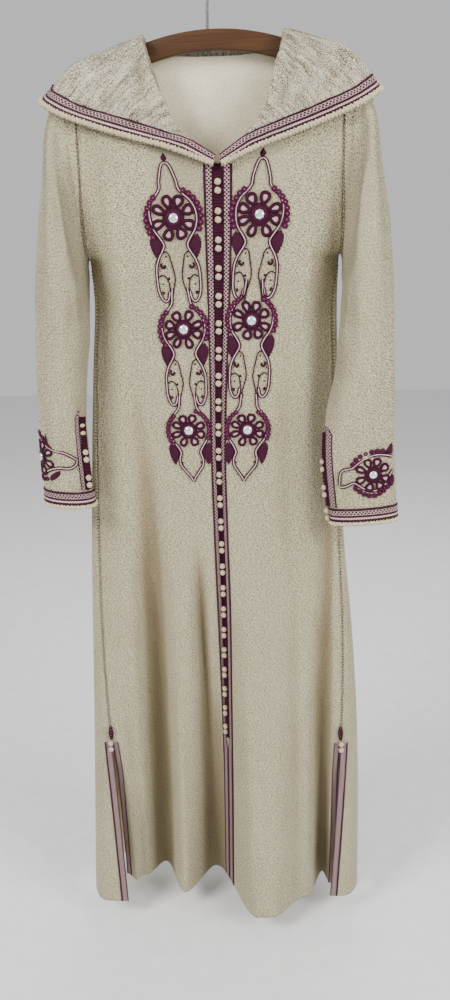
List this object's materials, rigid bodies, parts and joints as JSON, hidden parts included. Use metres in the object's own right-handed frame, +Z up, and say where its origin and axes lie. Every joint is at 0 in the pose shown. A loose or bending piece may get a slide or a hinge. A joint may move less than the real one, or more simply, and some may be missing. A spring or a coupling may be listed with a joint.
{
  "type": "djellaba robe on a hanger",
  "caption": "Full-length hooded djellaba in pale cloth, with braided trims, knot buttons down the front, chest medallions, long sleeves and side slits, hung from an arched wooden hanger.",
  "frame": {"origin": "inside top of the hanger's hook, where a rail or wall hook holds it", "axes": "+Z up, the robe's front faces -Y, +X is to the right of someone looking at the front"},
  "size_m": [0.562, 0.1833, 1.5601],
  "materials": {
    "cream_cloth": "satin",
    "braid": "matte",
    "purple_thread": "satin",
    "cream_cord": "satin",
    "wood": "varnished",
    "wire": "satin"
  },
  "bodies": {
    "root": {"back": "cream_cloth", "button_pair_01": "cream_cord", "button_pair_02": "cream_cord", "button_pair_03": "cream_cord", "button_pair_04": "cream_cord", "button_pair_05": "cream_cord", "button_pair_06": "cream_cord", "button_pair_07": "cream_cord", "button_pair_08": "cream_cord", "button_pair_09": "cream_cord", "button_pair_10": "cream_cord", "button_pair_11": "cream_cord", "button_pair_12": "cream_cord", "button_pair_13": "cream_cord", "button_pair_14": "cream_cord", "button_pair_15": "cream_cord", "button_pair_16": "cream_cord", "button_pair_17": "cream_cord", "button_pair_18": "cream_cord", "button_pair_19": "cream_cord", "button_pair_20": "cream_cord", "button_pair_21": "cream_cord", "button_pair_22": "cream_cord", "button_pair_23": "cream_cord", "button_pair_24": "cream_cord", "cuff_band_left": "braid", "cuff_band_right": "braid", "cuff_knot_left_1": "cream_cord", "cuff_knot_left_2": "cream_cord", "cuff_knot_left_3": "cream_cord", "cuff_knot_right_1": "cream_cord", "cuff_knot_right_2": "cream_cord", "cuff_knot_right_3": "cream_cord", "cuff_loops_left": "purple_thread", "cuff_loops_right": "purple_thread", "front_left": "cream_cloth", "front_right": "cream_cloth", "hanger_bar": "wood", "hanger_hook": "wire", "hood": "cream_cloth", "hood_trim": "braid", "medallion_left_1": "purple_thread", "medallion_left_2": "purple_thread", "medallion_left_3": "purple_thread", "medallion_right_1": "purple_thread", "medallion_right_2": "purple_thread", "medallion_right_3": "purple_thread", "placket_braid_left": "braid", "placket_braid_right": "braid", "placket_loops": "purple_thread", "sleeve_left": "cream_cloth", "sleeve_right": "cream_cloth", "slit_braid_back_left": "braid", "slit_braid_back_right": "braid", "slit_braid_front_left": "braid", "slit_braid_front_right": "braid", "slit_knot_left": "cream_cord", "slit_knot_right": "cream_cord"}
  },
  "joints": []
}
